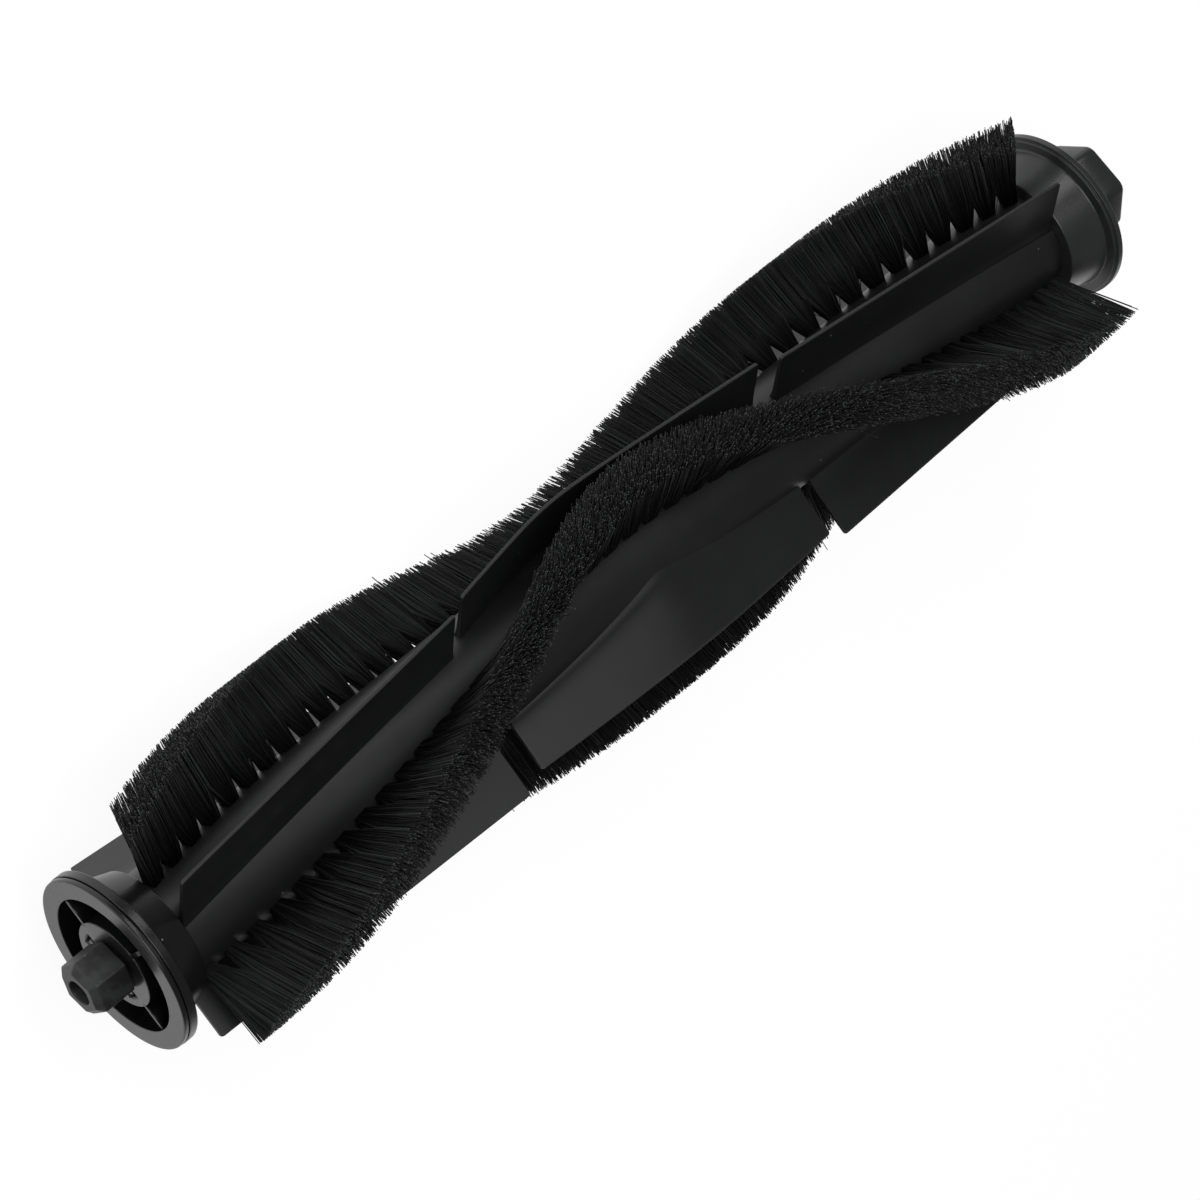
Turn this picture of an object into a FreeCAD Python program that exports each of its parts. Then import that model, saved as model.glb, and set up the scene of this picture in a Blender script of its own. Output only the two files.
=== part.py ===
import FreeCAD, Part
import math
import os

# Roller brush of a robot vacuum cleaner, in millimetres.
# The axis lies along X, with the bearing end at -X and the drive end at +X. Axial places are
# measured from the middle of the tube. Angles are in degrees about X, from +Y towards +Z.
# The origin is on the axis, half-way between the tip of the bush and the tip of the drive peg.

# Core tube
tube_radius = 9.0
tube_bore_flats = 8.0
tube_bore_angle = 15.0
tube_half_length = 96.4

# End caps: a hexagonal spigot that locks into the tube's bore, a cone that opens outwards, and a flange
cap_fit = 0.02
spigot_length = 12.0
cone_wall = 1.2
cone_flare = 1.9
cone_length = 6.5
flange_overhang = 2.2
flange_thickness = 1.6

# Recessed face of the bearing cap
recess_radius = 11.6
recess_depth = 3.6
hub_radius = 7.4
hub_sink = 0.2
rib_count = 4
rib_thickness = 0.7
rib_bury = 1.0
rib_angle = -27.0
slot_radius = 5.6
slot_width = 0.7
slot_depth = 0.8
slot_span = 26.0
slot_angles = (-62.0, 155.0)

# Bearing bush and the axle pin that it turns on
pin_radius = 2.0
pin_hold = 14.0
pin_recess = 1.6
pin_chamfer = 0.3
running_fit = 0.05
bush_flats = 8.4
bush_length = 6.45
bush_tip_flats = 6.2
bush_tip_length = 1.0
bush_gap = 0.3
bush_angle = 9.0

# Drive peg
peg_flats = 14.6
peg_corner_radius = 2.0
peg_length = 9.5
peg_edge_chamfer = 0.5
peg_angle = 25.5

# Flaps and bristle rows alternate round the tube
repeat_count = 3

# Wiper flaps: plates that stand in slots of the tube, each in two side segments and a bent middle
flap_tip_radius = 19.2
flap_thickness = 0.7
flap_height_angle = 34.0
flap_fit = 0.03
flap_seat_depth = 0.8
flap_end_gap = 0.5
flap_middle_half = 32.4
flap_split = 3.3
flap_end_angle = 36.3
flap_split_angle = -7.7
flap_middle_angle = -20.7
flap_apex_angle = -64.5
flap_apex_places = (-10.0, 0.5, 0.0)
flap_bend_radius = 25.0

# Bristle rows: chevrons of tufts that are anchored in holes of the tube
tuft_tip_radius = 22.3
tuft_pitch = 4.49
tuft_tip_gap = 0.3
tuft_root_width = 2.2
tuft_hole_depth = 3.2
tuft_fit = 0.03
tuft_end_splay = 8.0
tuft_splay_reach = 12.0
row_end_gap = 1.8
row_apex_angle = 41.0
row_lead = 283.5
row_apex_length = 20.0
anchor_height = 0.8
anchor_thickness = 0.6

# Places that follow from these sizes
cone_flange_radius = recess_radius + cone_wall
cone_mouth_radius = cone_flange_radius - cone_flare
flange_radius = cone_flange_radius + flange_overhang
flange_back = tube_half_length + cone_length
cap_front = flange_back + flange_thickness
hub_face = cap_front - hub_sink
recess_floor = cap_front - recess_depth
bush_base = hub_face + bush_gap
bush_tip = bush_base + bush_length
peg_tip = cap_front + peg_length
axis_shift = (bush_tip - peg_tip) / 2
flap_seat_radius = tube_radius - flap_seat_depth
flap_end = tube_half_length - flap_end_gap
flap_side_start = flap_middle_half + flap_split
row_half_length = tube_half_length - row_end_gap
tuft_count = int(2 * row_half_length / tuft_pitch) + 1
tuft_tip_width = tuft_pitch - tuft_tip_gap
tuft_hole_floor = tube_radius - tuft_hole_depth
repeat_angle = 360.0 / repeat_count

# Length by which a cutting shape runs past what it cuts, and the distance that counts as one point
overshoot = 1.0
same_point = 0.001

ORIGIN = FreeCAD.Vector(0, 0, 0)
X = FreeCAD.Vector(1, 0, 0)
Y = FreeCAD.Vector(0, 1, 0)
Z = FreeCAD.Vector(0, 0, 1)


def turned(profile, span=360.0):
    """Body of revolution about X from (place, radius) points."""
    points = [FreeCAD.Vector(place, radius, 0) for place, radius in profile]
    outline = Part.makePolygon(points + points[:1])
    return Part.Face(outline).revolve(ORIGIN, X, span)


def ring(inner, outer, start, end):
    """Straight ring about X."""
    return turned([(start, inner), (end, inner), (end, outer), (start, outer)])


def hexagon(place, flats, turn):
    """Corners of a hexagon square to X."""
    reach = flats / math.sqrt(3)
    angles = [math.radians(turn + 60 * side) for side in range(6)]
    return [FreeCAD.Vector(place, reach * math.cos(a), reach * math.sin(a)) for a in angles]


def flat_face(corners):
    """Flat face inside a closed line of corners."""
    return Part.Face(Part.makePolygon(corners + corners[:1]))


def frustum(start, end):
    """Solid with flat sides between two outlines that have the same number of corners."""
    faces = [flat_face(start), flat_face(end)]
    for index in range(len(start)):
        faces.append(flat_face([start[index - 1], start[index], end[index], end[index - 1]]))
    solid = Part.Solid(Part.Shell(faces))
    if solid.Volume < 0:
        solid.reverse()
    return solid


def rounded_hexagon(place, flats, corner_radius, turn):
    """Hexagonal wire square to X with rounded corners."""
    corners = hexagon(place, flats, turn)
    run = corner_radius * math.tan(math.radians(30))
    pull = corner_radius * (1 / math.cos(math.radians(30)) - 1)
    centre = FreeCAD.Vector(place, 0, 0)
    edges = []
    ends = []
    for index, corner in enumerate(corners):
        before = corner + (corners[index - 1] - corner).normalize() * run
        after = corner + (corners[(index + 1) % 6] - corner).normalize() * run
        middle = corner + (centre - corner).normalize() * pull
        edges.append(Part.Arc(before, middle, after).toShape())
        ends.append((before, after))
    for index in range(6):
        edges.append(Part.LineSegment(ends[index][1], ends[(index + 1) % 6][0]).toShape())
    return Part.Wire(Part.__sortEdges__(edges))


def mirrored(shape):
    """The shape moved from the drive end to the bearing end."""
    return shape.mirror(ORIGIN, X)


def cap_blank(front):
    """Spigot, cone and flange, with the given (place, radius) points from the flange's front to the axis."""
    shoulder = tube_half_length + cap_fit
    body = turned([
        (shoulder, 0),
        (shoulder, cone_mouth_radius),
        (flange_back, cone_flange_radius),
        (flange_back, flange_radius),
        (cap_front, flange_radius),
    ] + front)
    spigot_flats = tube_bore_flats - 2 * cap_fit
    outline = flat_face(hexagon(shoulder - spigot_length, spigot_flats, tube_bore_angle))
    return body, outline.extrude(X * (spigot_length + overshoot))


def bearing_end_cap():
    """Cap with a ribbed recess round a hub that holds the axle pin."""
    body, spigot = cap_blank([(cap_front, recess_radius), (recess_floor, recess_radius), (recess_floor, 0)])
    hub = ring(0, hub_radius, recess_floor, hub_face)
    ribs = []
    for index in range(rib_count):
        rib = Part.makeBox(
            hub_face - recess_floor, recess_radius - hub_radius + 2 * rib_bury, rib_thickness,
            FreeCAD.Vector(recess_floor, hub_radius - rib_bury, -rib_thickness / 2))
        rib.rotate(ORIGIN, X, rib_angle + index * 360.0 / rib_count)
        ribs.append(rib)
    cap = body.fuse([spigot, hub] + ribs).removeSplitter()
    tools = [ring(0, pin_radius + cap_fit, hub_face - pin_hold, cap_front + overshoot)]
    for angle in slot_angles:
        slot = turned([
            (hub_face - slot_depth, slot_radius - slot_width / 2),
            (cap_front + overshoot, slot_radius - slot_width / 2),
            (cap_front + overshoot, slot_radius + slot_width / 2),
            (hub_face - slot_depth, slot_radius + slot_width / 2),
        ], slot_span)
        slot.rotate(ORIGIN, X, angle)
        tools.append(slot)
    return mirrored(cap.cut(tools))


def drive_end_cap():
    """Cap with a plain face and a hexagonal drive peg."""
    body, spigot = cap_blank([(cap_front, 0)])
    outline = rounded_hexagon(recess_floor, peg_flats, peg_corner_radius, peg_angle)
    peg = Part.Face(outline).extrude(X * (peg_tip - recess_floor))
    end_edges = [edge for edge in peg.Edges if edge.BoundBox.XMin > peg_tip - peg_edge_chamfer]
    peg = peg.makeChamfer(peg_edge_chamfer, end_edges)
    return body.fuse([spigot, peg]).removeSplitter()


def axle_pin():
    """Steel pin that is held in the hub and ends inside the bush."""
    tip = bush_tip - pin_recess
    pin = turned([
        (hub_face - pin_hold, 0),
        (hub_face - pin_hold, pin_radius),
        (tip - pin_chamfer, pin_radius),
        (tip, pin_radius - pin_chamfer),
        (tip, 0),
    ])
    return mirrored(pin)


def bearing_bush():
    """Hexagonal bush with a tapered tip and a round bore."""
    shoulder = hexagon(bush_tip - bush_tip_length, bush_flats, bush_angle)
    barrel = frustum(hexagon(bush_base, bush_flats, bush_angle), shoulder)
    tip = frustum(shoulder, hexagon(bush_tip, bush_tip_flats, bush_angle))
    bore = ring(0, pin_radius + running_fit, bush_base - overshoot, bush_tip + overshoot)
    return mirrored(barrel.fuse(tip).cut(bore))


def flap_offset(angle):
    """Distance of a flap's plate from the plane through the axis, for an angle at its seat."""
    return flap_seat_radius * math.sin(math.radians(angle))


def chord_height(radius, offset):
    """Height above the axis at which a plate at an offset meets a radius."""
    return math.sqrt(radius ** 2 - offset ** 2)


def flap_paths(apex):
    """Centre lines of one flap's segments as (place, offset) points."""
    end = (flap_end, flap_offset(flap_end_angle))
    split = (flap_side_start, flap_offset(flap_split_angle))
    middle = (flap_middle_half, flap_offset(flap_middle_angle))
    bend = (apex, flap_offset(flap_apex_angle))
    return {
        "bearing_side": [(-end[0], end[1]), (-split[0], split[1])],
        "middle": [(-middle[0], middle[1]), bend, middle],
        "drive_side": [split, end],
    }


def flap_plate(path, growth, inner, outer):
    """Plate along a centre line between two radii at its corners, grown all round by a clearance."""
    half = flap_thickness / 2 + growth
    stretched = list(path)
    stretched[0] = (path[0][0] - growth, path[0][1])
    stretched[-1] = (path[-1][0] + growth, path[-1][1])
    back = list(reversed(stretched))
    plan = [FreeCAD.Vector(place, 0, offset + half) for place, offset in stretched]
    plan += [FreeCAD.Vector(place, 0, offset - half) for place, offset in back]
    plate = flat_face(plan).extrude(Y * outer)
    for apex, _ in path[1:-1]:
        bends = [edge for edge in plate.Edges
                 if all(abs(vertex.X - apex) < same_point for vertex in edge.Vertexes)]
        plate = plate.makeFillet(flap_bend_radius, bends)
    elevation = [FreeCAD.Vector(place, chord_height(inner, offset), -outer) for place, offset in stretched]
    elevation += [FreeCAD.Vector(place, chord_height(outer, offset), -outer) for place, offset in back]
    return plate.common(flat_face(elevation).extrude(Z * 2 * outer))


def flaps():
    """Every flap segment and the slot that it stands in."""
    segments = {}
    slots = []
    for index in range(repeat_count):
        apex = flap_apex_places[index % len(flap_apex_places)]
        turn = flap_height_angle + index * repeat_angle
        for name, path in flap_paths(apex).items():
            segment = flap_plate(path, 0, flap_seat_radius, flap_tip_radius)
            slot = flap_plate(path, flap_fit, flap_seat_radius - flap_fit, tube_radius + overshoot)
            for shape in (segment, slot):
                shape.rotate(ORIGIN, X, turn)
            segments[f"flap_{index + 1}_{name}"] = segment
            slots.append(slot)
    return segments, slots


def square(height, width):
    """Corners of a square that is square to Y."""
    half = width / 2
    corners = [(-half, -half), (half, -half), (half, half), (-half, half)]
    return [FreeCAD.Vector(place, height, across) for place, across in corners]


def row_places():
    """Place, angle and outward splay of each tuft of the first row."""
    places = []
    last = (tuft_count - 1) / 2 * tuft_pitch
    for index in range(tuft_count):
        place = index * tuft_pitch - last
        arm = math.hypot(place, row_apex_length)
        angle = row_apex_angle + 360.0 * (arm - row_apex_length) / row_lead
        nearness = max(0.0, 1 - (last - abs(place)) / tuft_splay_reach)
        splay = math.copysign(tuft_end_splay * nearness ** 2, place)
        places.append((place, angle, splay))
    return places


def spread(master, row):
    """Copies of a shape at every tuft of one row."""
    copies = []
    mouth = Y * tube_radius
    for place, angle, splay in row_places():
        piece = master.copy()
        piece.rotate(mouth, Z, -splay)
        piece.rotate(ORIGIN, X, angle + row * repeat_angle)
        piece.translate(X * place)
        copies.append(piece)
    return copies


def bristles():
    """Tufts and anchors of every row, and the holes that they sit in."""
    tip_reach = tuft_tip_width / math.sqrt(2)
    tip_height = math.sqrt(tuft_tip_radius ** 2 - tip_reach ** 2)
    anchor_top = tuft_hole_floor + anchor_height
    tuft = frustum(square(anchor_top + tuft_fit, tuft_root_width), square(tip_height, tuft_tip_width))
    taper = (tuft_tip_width - tuft_root_width) / (tip_height - anchor_top - tuft_fit)
    mouth_width = tuft_root_width + taper * (tube_radius - anchor_top - tuft_fit)
    hole_width = mouth_width + 2 * tuft_fit
    hole = frustum(square(tuft_hole_floor, hole_width), square(tube_radius + overshoot, hole_width))
    anchor_length = hole_width - 2 * tuft_fit
    anchor_ends = [
        FreeCAD.Vector(-anchor_length / 2, tuft_hole_floor + tuft_fit, 0),
        FreeCAD.Vector(-anchor_length / 2, anchor_top, anchor_thickness / 2),
        FreeCAD.Vector(-anchor_length / 2, anchor_top, -anchor_thickness / 2),
    ]
    anchor = flat_face(anchor_ends).extrude(X * anchor_length)
    pieces = {}
    holes = []
    for row in range(repeat_count):
        pieces[f"bristle_row_{row + 1}"] = Part.makeCompound(spread(tuft, row))
        pieces[f"tuft_anchors_{row + 1}"] = Part.makeCompound(spread(anchor, row))
        holes += spread(hole, row)
    return pieces, holes


def core_tube(cuts):
    """Tube with slots for the flaps and holes for the tufts."""
    tube = ring(0, tube_radius, -tube_half_length, tube_half_length)
    outline = flat_face(hexagon(-tube_half_length - overshoot, tube_bore_flats, tube_bore_angle))
    bore = outline.extrude(X * 2 * (tube_half_length + overshoot))
    return tube.cut([bore] + cuts)


def main():
    """Builds every piece and writes it to its own file."""
    os.makedirs("parts", exist_ok=True)
    flap_segments, flap_slots = flaps()
    bristle_pieces, tuft_holes = bristles()
    pieces = {
        "core_tube": core_tube(flap_slots + tuft_holes),
        "bearing_end_cap": bearing_end_cap(),
        "drive_end_cap": drive_end_cap(),
        "axle_pin": axle_pin(),
        "bearing_bush": bearing_bush(),
    }
    pieces.update(flap_segments)
    pieces.update(bristle_pieces)
    for name, shape in pieces.items():
        shape.translate(X * axis_shift)
        shape.exportStep(f"parts/{name}.step")


main()
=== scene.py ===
import logging
import math
from dataclasses import dataclass, field, replace
from enum import Enum

import bpy
import numpy as np
from mathutils import Matrix, Vector


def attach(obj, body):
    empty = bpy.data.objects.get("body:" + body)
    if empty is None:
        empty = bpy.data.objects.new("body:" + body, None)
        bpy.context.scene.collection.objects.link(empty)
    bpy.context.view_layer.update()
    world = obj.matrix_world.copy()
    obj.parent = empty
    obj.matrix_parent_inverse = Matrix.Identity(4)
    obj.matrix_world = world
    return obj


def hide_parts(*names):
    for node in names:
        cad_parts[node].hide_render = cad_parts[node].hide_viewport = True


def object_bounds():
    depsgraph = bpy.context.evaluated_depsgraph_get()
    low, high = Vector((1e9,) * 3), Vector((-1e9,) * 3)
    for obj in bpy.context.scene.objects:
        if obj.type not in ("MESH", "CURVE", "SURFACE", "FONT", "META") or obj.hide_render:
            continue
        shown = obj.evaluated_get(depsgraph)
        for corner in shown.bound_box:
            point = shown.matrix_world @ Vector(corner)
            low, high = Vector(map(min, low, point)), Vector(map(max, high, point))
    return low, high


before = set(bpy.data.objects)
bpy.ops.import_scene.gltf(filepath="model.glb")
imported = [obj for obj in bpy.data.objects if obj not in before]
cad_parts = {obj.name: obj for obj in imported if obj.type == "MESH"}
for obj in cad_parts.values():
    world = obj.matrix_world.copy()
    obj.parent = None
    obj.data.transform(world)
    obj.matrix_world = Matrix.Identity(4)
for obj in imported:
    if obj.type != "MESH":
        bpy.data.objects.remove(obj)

LOG = logging.getLogger("roller_brush")
CAD_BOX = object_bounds()

# Sizes are in millimetres from the middle of the tube, which lies at AXIS_SHIFT on the frame's X axis
MM = 0.001
AXIS_SHIFT = -1.475
# A turned outline ends this close to the axis
AXIS_GAP = 0.02
REPEATS = 3
REPEAT_ANGLE = 360.0 / REPEATS
# Share of a run that a rounded corner may take, and of its reach at which a guard point stands
ARC_SHARE = 0.46
GUARD_SHARE = 0.08
# Tint of the dark finishes
COOL = 0.02

Array = np.ndarray
Edges = tuple[float, ...]
Pair = tuple[float, float]
Triple = tuple[float, float, float]
Colour = tuple[float, float, float, float]


class End(Enum):
    """The two ends of the roller, with the sign of their place on the axis."""

    BEARING = -1
    DRIVE = 1


class Segment(Enum):
    """The three rubber segments of one wiper flap."""

    BEARING_SIDE = "bearing_side"
    MIDDLE = "middle"
    DRIVE_SIDE = "drive_side"


class Socket:
    """An output of a shader node that takes part in Python arithmetic."""

    def __init__(self, bench: "NodeBench", link: bpy.types.NodeSocket) -> None:
        """Keeps the node bench and the output socket."""
        self.bench = bench
        self.link = link

    def __add__(self, other: "Socket | float") -> "Socket":
        """Sum."""
        return self.bench.math("ADD", self, other)

    def __radd__(self, other: float) -> "Socket":
        """Sum with a number first."""
        return self.bench.math("ADD", other, self)

    def __sub__(self, other: "Socket | float") -> "Socket":
        """Difference."""
        return self.bench.math("SUBTRACT", self, other)

    def __rsub__(self, other: float) -> "Socket":
        """Difference with a number first."""
        return self.bench.math("SUBTRACT", other, self)

    def __mul__(self, other: "Socket | float") -> "Socket":
        """Product."""
        return self.bench.math("MULTIPLY", self, other)

    def __rmul__(self, other: float) -> "Socket":
        """Product with a number first."""
        return self.bench.math("MULTIPLY", other, self)

    def centred(self) -> "Socket":
        """A value between 0 and 1, moved to lie about 0."""
        return self - 0.5

    def band(self, low: float, high: float) -> "Socket":
        """Smooth step from 0 at low to 1 at high."""
        made = self.bench.node("ShaderNodeMapRange", {"interpolation_type": "SMOOTHSTEP"},
                               {"Value": self, "From Min": low, "From Max": high})
        return Socket(self.bench, made.outputs["Result"])


@dataclass(frozen=True)
class Pattern:
    """A noise pattern: its scale per metre, octaves of detail, roughness and stretch along each axis."""

    scale: float
    detail: float
    roughness: float
    stretch: Triple = (1.0, 1.0, 1.0)


class NodeBench:
    """Node tree of one material, with a method for nodes and one for each common pattern."""

    def __init__(self, name: str) -> None:
        """Makes an empty material of the given name with an output node."""
        self.material = bpy.data.materials.new(name)
        self.material.use_nodes = True
        self.tree = self.material.node_tree
        self.tree.nodes.clear()
        self.output = self.tree.nodes.new("ShaderNodeOutputMaterial")

    def node(self, kind: str, settings: dict | None = None, inputs: dict | None = None) -> bpy.types.Node:
        """Adds a node, applies its settings and then fills its sockets.

        Args:
            kind: Blender's name of the node type.
            settings: Properties of the node, such as the operation of a Math node.
            inputs: Values or links by socket name or number.

        Returns:
            The new node.
        """
        made = self.tree.nodes.new(kind)
        for key, value in (settings or {}).items():
            setattr(made, key, value)
        for key, value in (inputs or {}).items():
            link = value.link if isinstance(value, Socket) else value
            if isinstance(link, bpy.types.NodeSocket):
                self.tree.links.new(link, made.inputs[key])
            else:
                made.inputs[key].default_value = value
        return made

    def math(self, operation: str, first: Socket | float, second: Socket | float) -> Socket:
        """One arithmetic step between values."""
        made = self.node("ShaderNodeMath", {"operation": operation}, {0: first, 1: second})
        return Socket(self, made.outputs[0])

    def place(self, stretch: Triple = (1.0, 1.0, 1.0)) -> Socket:
        """Object coordinates in metres, stretched along each axis."""
        coordinates = self.node("ShaderNodeTexCoord").outputs["Object"]
        made = self.node("ShaderNodeMapping", None, {"Vector": coordinates, "Scale": stretch})
        return Socket(self, made.outputs["Vector"])

    def noise(self, pattern: Pattern) -> Socket:
        """Soft noise between about 0 and 1."""
        made = self.node("ShaderNodeTexNoise", None, {
            "Vector": self.place(pattern.stretch), "Scale": pattern.scale,
            "Detail": pattern.detail, "Roughness": pattern.roughness})
        return Socket(self, made.outputs["Fac"])

    def attribute(self, name: str) -> Socket:
        """A value that the mesh carries at its points."""
        made = self.node("ShaderNodeAttribute", {"attribute_name": name})
        return Socket(self, made.outputs["Fac"])

    def blend(self, factor: Socket, first: Socket | Colour, second: Socket | Colour) -> Socket:
        """Mix of two colours by a value."""
        made = self.node("ShaderNodeMix", {"data_type": "RGBA"}, {0: factor, 6: first, 7: second})
        return Socket(self, made.outputs[2])

    def bump(self, height: Socket, depth: float) -> Socket:
        """Normal of a relief of the given depth in metres."""
        made = self.node("ShaderNodeBump", None, {"Height": height, "Strength": 1.0, "Distance": depth})
        return Socket(self, made.outputs["Normal"])

    def surface(self, inputs: dict) -> bpy.types.Material:
        """Finishes the material with a principled shader."""
        shader = self.node("ShaderNodeBsdfPrincipled", None, inputs)
        self.tree.links.new(shader.outputs["BSDF"], self.output.inputs["Surface"])
        return self.material


def grey(value: float, tint: float = 0.0) -> Colour:
    """A grey with a slight cool tint."""
    return (value * (1.0 - tint), value, value * (1.0 + tint), 1.0)


@dataclass(frozen=True)
class Clouds:
    """Soft clouds of a darker and a lighter shade of one grey."""

    pattern: Pattern
    shades: Pair
    tints: Pair
    edges: Pair = (0.3, 0.7)

    def colour(self, bench: NodeBench, noise: Socket, value: float) -> Socket:
        """The two shades of a grey, blended by the clouds' noise."""
        dark, light = (grey(value * shade, tint) for shade, tint in zip(self.shades, self.tints))
        return bench.blend(noise.band(*self.edges), dark, light)


@dataclass(frozen=True)
class Dust:
    """Sparse pale specks: round spots in the cells of a Voronoi pattern whose random value is in a share."""

    scale: float
    size: float
    share: float
    cover: float
    value: float
    fade: float = 0.95

    def over(self, bench: NodeBench, colour: Socket) -> Socket:
        """The colour with specks on it, whose outer halves fade."""
        cells = bench.node("ShaderNodeTexVoronoi", None, {"Vector": bench.place(), "Scale": self.scale})
        chance = bench.node("ShaderNodeSeparateColor", None, {"Color": cells.outputs["Color"]})
        outside = Socket(bench, cells.outputs["Distance"]).band(self.size / 2, self.size)
        empty = Socket(bench, chance.outputs["Red"]).band(self.share * self.fade, self.share)
        return bench.blend((1.0 - outside) * (1.0 - empty) * self.cover, colour, grey(self.value, COOL))


@dataclass(frozen=True)
class MouldedPlastic:
    """Satin moulded plastic with a fine eroded grain, soft flow clouds, rubbed places and a little dust.

    Where the mesh carries painted light, the plastic is painted lighter towards its painted-light value;
    grease darkens it in patches.
    """

    slot: str
    value: float
    roughness: float
    grain: Pattern = Pattern(3200.0, 2.0, 0.6)
    grain_depth: float = 0.00001
    grain_uneven: float = 0.05
    clouds: Clouds = Clouds(Pattern(60.0, 4.0, 0.6), (0.82, 1.2), (0.02, 0.03))
    rubs: Pattern = Pattern(90.0, 3.0, 0.6, (1.0, 8.0, 8.0))
    uneven: float = 0.10
    # Painted light: the value that lit faces are painted towards
    painted_light_value: float = 0.042
    grease: float = 0.0
    grease_film: Pattern = Pattern(330.0, 3.0, 0.55)
    grease_edges: Pair = (0.42, 0.6)
    grease_shade: float = 0.25
    dust: Dust = Dust(scale=420.0, size=0.09, share=0.04, cover=0.55, value=0.42)

    def make(self) -> bpy.types.Material:
        """Builds the material."""
        bench = NodeBench("moulded_plastic_" + self.slot)
        clouds = bench.noise(self.clouds.pattern)
        grain = bench.noise(self.grain)
        flow = clouds.centred() + bench.noise(self.rubs).centred()
        film = self.grease * bench.noise(self.grease_film).band(*self.grease_edges)
        body = self.clouds.colour(bench, clouds, self.value)
        # Painted light: lighter where the mesh's point value says
        faced = bench.blend(bench.attribute("painted_light"), body, grey(self.painted_light_value, COOL))
        stained = bench.blend(film, faced, grey(self.value * self.grease_shade))
        return bench.surface({
            "Base Color": self.dust.over(bench, stained),
            "Roughness": self.roughness + self.uneven * flow + self.grain_uneven * grain.centred(),
            "Normal": bench.bump(grain, self.grain_depth),
        })


@dataclass(frozen=True)
class WiperRubber:
    """Smooth rubber with faint flow streaks, a rubbed tip and a little dust."""

    slot: str = "flaps"
    value: float = 0.012
    tip_value: float = 0.028
    roughness: float = 0.42
    clouds: Clouds = Clouds(Pattern(45.0, 4.0, 0.55), (0.8, 1.25), (0.03, 0.04))
    cloud_uneven: float = 0.12
    streaks: Pattern = Pattern(55.0, 3.0, 0.6, (1.0, 14.0, 14.0))
    streak_uneven: float = 0.10
    streak_share: float = 0.4
    grain: Pattern = Pattern(2600.0, 2.0, 0.6)
    relief_depth: float = 0.000008
    worn_reach: Pair = (0.955, 1.0)
    worn_roughness: float = 0.12
    dust: Dust = Dust(scale=380.0, size=0.085, share=0.05, cover=0.5, value=0.4)

    def make(self) -> bpy.types.Material:
        """Builds the material."""
        bench = NodeBench("wiper_rubber")
        clouds = bench.noise(self.clouds.pattern)
        streaks = bench.noise(self.streaks)
        relief = bench.noise(self.grain) * (1 - self.streak_share) + streaks * self.streak_share
        worn = bench.attribute("reach").band(*self.worn_reach)
        uneven = self.cloud_uneven * clouds.centred() + self.streak_uneven * streaks.centred()
        body = self.clouds.colour(bench, clouds, self.value)
        rubbed = bench.blend(worn * (0.5 + 0.5 * streaks), body, grey(self.tip_value, COOL))
        return bench.surface({
            "Base Color": self.dust.over(bench, rubbed),
            "Roughness": self.roughness + uneven + self.worn_roughness * worn,
            "Normal": bench.bump(relief, self.relief_depth),
        })


@dataclass(frozen=True)
class NylonFilament:
    """Black nylon filaments with painted glints: those of a high tone are painted paler, and most cut tips
    are lighter still.
    """

    slot: str = "bristles"
    value: float = 0.012
    glint_value: float = 0.045
    glint_tint: float = 0.04
    glint_tones: Pair = (0.82, 1.0)
    tip_value: float = 0.115
    tip_tones: Pair = (0.4, 1.0)
    tip_reach: Pair = (0.985, 1.0)
    roughness: float = 0.48
    tone_uneven: float = 0.25
    fibre: Pattern = Pattern(900.0, 2.0, 0.5)
    fibre_share: float = 0.4
    fibre_uneven: float = 0.1
    specular: float = 0.2

    def make(self) -> bpy.types.Material:
        """Builds the material."""
        bench = NodeBench("nylon_filament")
        tone_and_glint = bench.attribute("tone_and_glint")
        fibre = bench.noise(self.fibre)
        # Painted glints: filaments of a high tone are painted paler
        glint = tone_and_glint.band(*self.glint_tones) * (1 - self.fibre_share + self.fibre_share * fibre)
        tip = bench.attribute("reach").band(*self.tip_reach) * tone_and_glint.band(*self.tip_tones)
        body = bench.blend(glint, grey(self.value, COOL), grey(self.glint_value, self.glint_tint))
        uneven = self.tone_uneven * tone_and_glint.centred() + self.fibre_uneven * fibre.centred()
        return bench.surface({
            "Base Color": bench.blend(tip, body, grey(self.tip_value, COOL)),
            "Roughness": self.roughness + uneven,
            "Specular IOR Level": self.specular,
        })


@dataclass(frozen=True)
class DrawnSteel:
    """Bright steel with fine turning or drawing lines round its axis."""

    slot: str
    value: float = 0.55
    roughness: float = 0.3
    lines: Pattern = Pattern(320.0, 3.0, 0.6, (40.0, 1.0, 1.0))
    line_depth: float = 0.000004
    line_uneven: float = 0.16
    stains: Clouds = Clouds(Pattern(240.0, 3.0, 0.6), (0.85, 1.0), (0.0, 0.01), (0.35, 0.75))
    stain_uneven: float = 0.1

    def make(self) -> bpy.types.Material:
        """Builds the material."""
        bench = NodeBench("drawn_steel_" + self.slot)
        lines = bench.noise(self.lines)
        stains = bench.noise(self.stains.pattern)
        uneven = self.line_uneven * lines.centred() + self.stain_uneven * stains.centred()
        return bench.surface({
            "Base Color": self.stains.colour(bench, stains, self.value),
            "Roughness": self.roughness + uneven,
            "Metallic": 1.0,
            "Normal": bench.bump(lines, self.line_depth),
        })


CORE_PLASTIC = MouldedPlastic("core", value=0.012, roughness=0.42)
# The caps are one plastic: the bearing cap's low value is painted shade and the drive cap's high value
# painted light
CAP_PLASTIC = MouldedPlastic(
    "caps", value=0.007, roughness=0.30, grain=Pattern(2600.0, 2.0, 0.6), grain_depth=0.000014)
DRIVE_CAP_LIT_PLASTIC = replace(CAP_PLASTIC, value=0.036)
BUSH_PLASTIC = MouldedPlastic(
    "bush", value=0.032, roughness=0.5, grain=Pattern(2400.0, 2.0, 0.6), grain_depth=0.000016, grease=0.7)


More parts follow.
